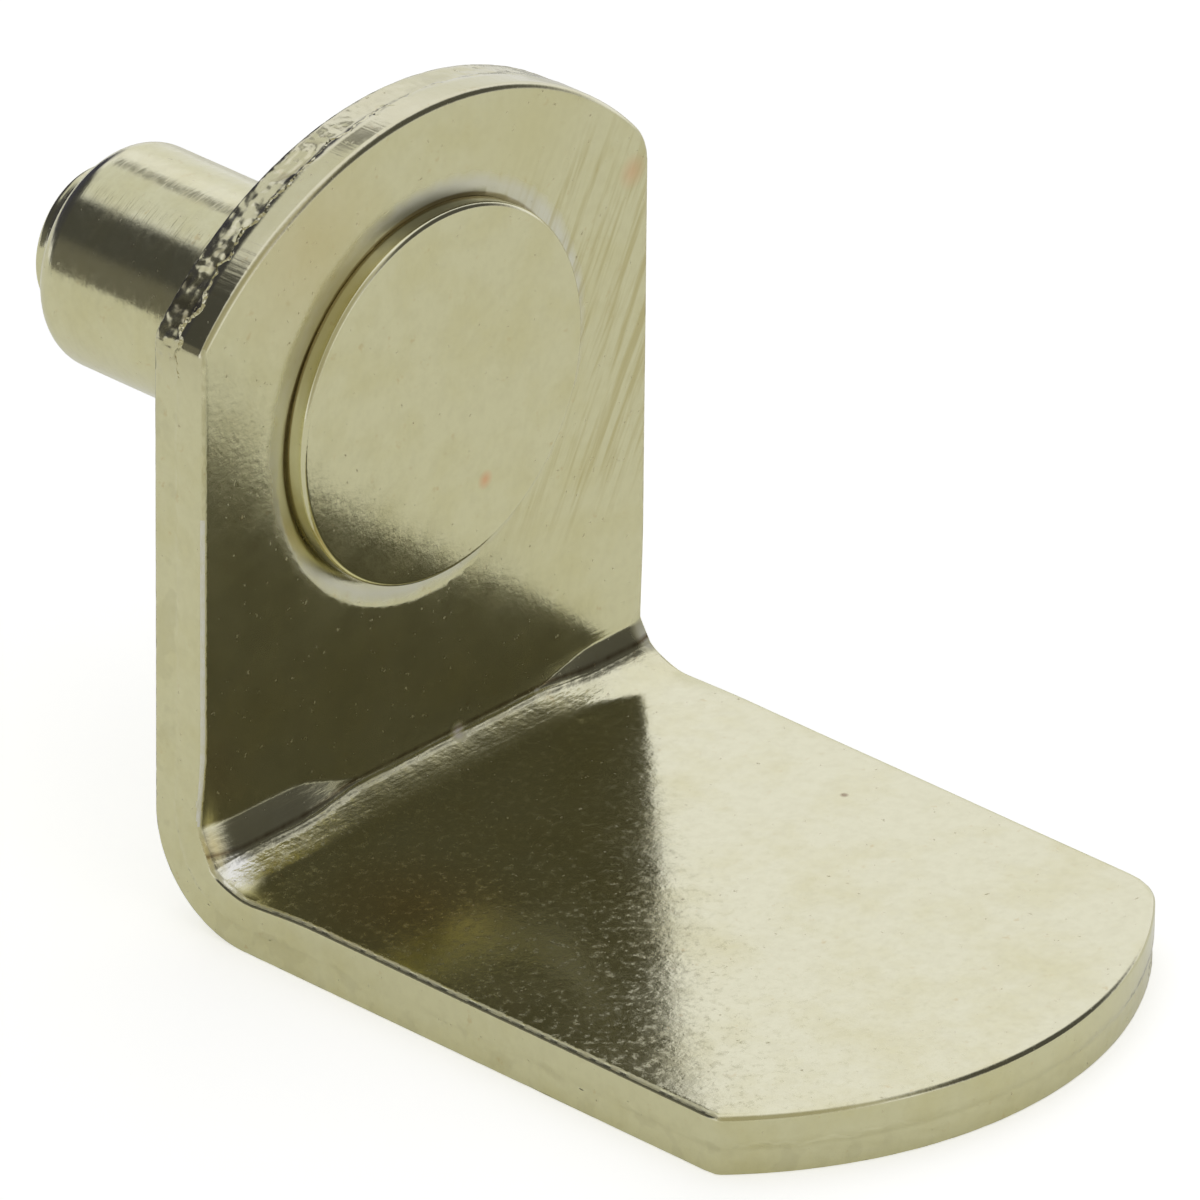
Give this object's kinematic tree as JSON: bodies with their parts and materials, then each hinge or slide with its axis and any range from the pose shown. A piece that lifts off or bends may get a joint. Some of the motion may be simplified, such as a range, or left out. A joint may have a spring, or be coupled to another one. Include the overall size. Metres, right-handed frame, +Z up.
{
  "type": "shelf support pin",
  "caption": "Brass-plated shelf support: a bent steel strip whose seat carries the shelf, on a headed pin that plugs into a drilled hole in the cabinet side.",
  "frame": {"origin": "on the pin's axis, at the bracket's back face, which lies against the cabinet side", "axes": "+Y along the pin into the cabinet side, +Z up out of the shelf seat, X across the strip's width"},
  "size_m": [0.0134, 0.0269, 0.0167],
  "materials": {
    "plated_strip": "pale brass plating, slightly rough",
    "plated_pin": "pale brass plating over a turned surface"
  },
  "bodies": {
    "root": {"bracket": "plated_strip", "pin": "plated_pin"}
  },
  "joints": []
}
